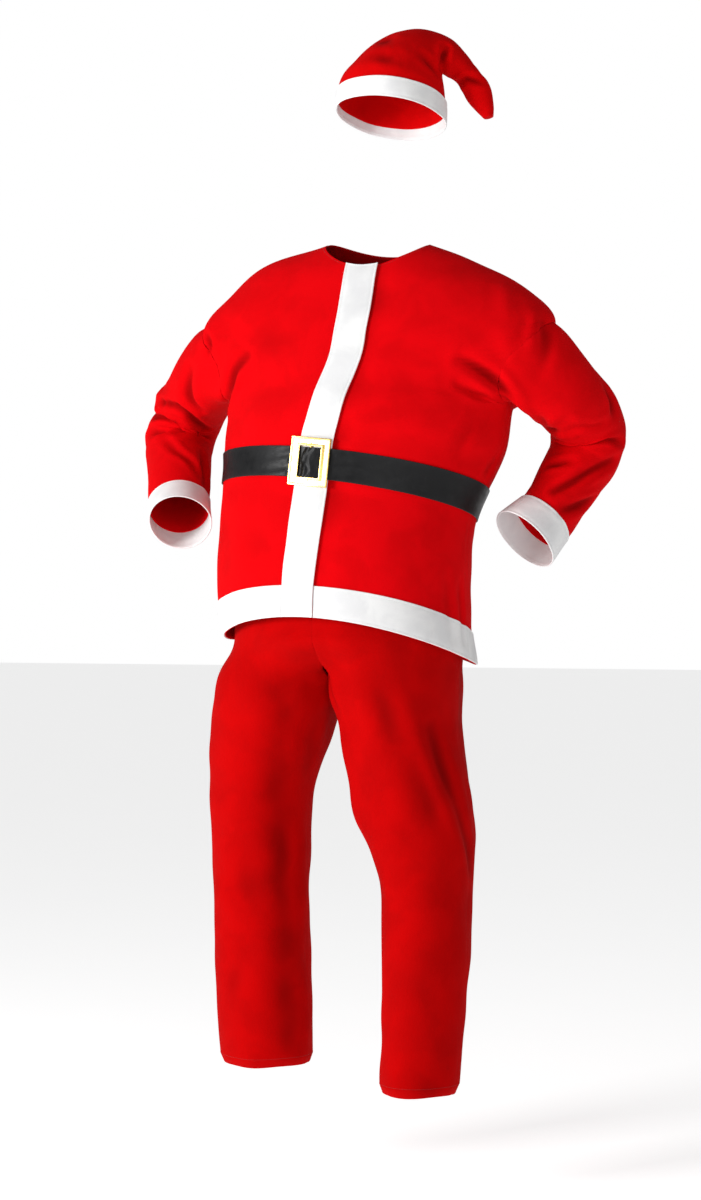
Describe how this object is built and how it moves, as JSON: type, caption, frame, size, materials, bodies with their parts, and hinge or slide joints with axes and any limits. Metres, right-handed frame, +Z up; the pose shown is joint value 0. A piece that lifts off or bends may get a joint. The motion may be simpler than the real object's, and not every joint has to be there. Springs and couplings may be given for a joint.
{
  "type": "santa suit",
  "caption": "Worn Santa suit set: hollow felt jacket with white trims and a buckled black belt, felt trousers and a soft pointed cap, in a hands-on-hips pose.",
  "frame": {"origin": "middle of the jacket's neck opening, at the height where the shoulders carry it", "axes": "+Z up along the wearer, -Y the way the wearer faces, +X to the wearer's left"},
  "size_m": [0.8526, 0.393, 1.7314],
  "materials": {
    "red_felt": "brushed matt felt",
    "white_felt": "matt white felt",
    "black_vinyl": "satin imitation leather",
    "gold_buckle": "polished pale gold plate"
  },
  "bodies": {
    "root": {"jacket_front_right": "red_felt", "jacket_front_left": "red_felt", "jacket_back": "red_felt", "sleeve_right": "red_felt", "sleeve_left": "red_felt", "trouser_front_right": "red_felt", "trouser_front_left": "red_felt", "trouser_back_right": "red_felt", "trouser_back_left": "red_felt", "waistband": "red_felt", "hat_crown": "red_felt", "front_band": "white_felt", "hem_band_right": "white_felt", "hem_band_left": "white_felt", "hem_band_back": "white_felt", "cuff_right": "white_felt", "cuff_left": "white_felt", "hat_band": "white_felt", "belt_strap": "black_vinyl", "belt_buckle": "gold_buckle"}
  },
  "joints": []
}
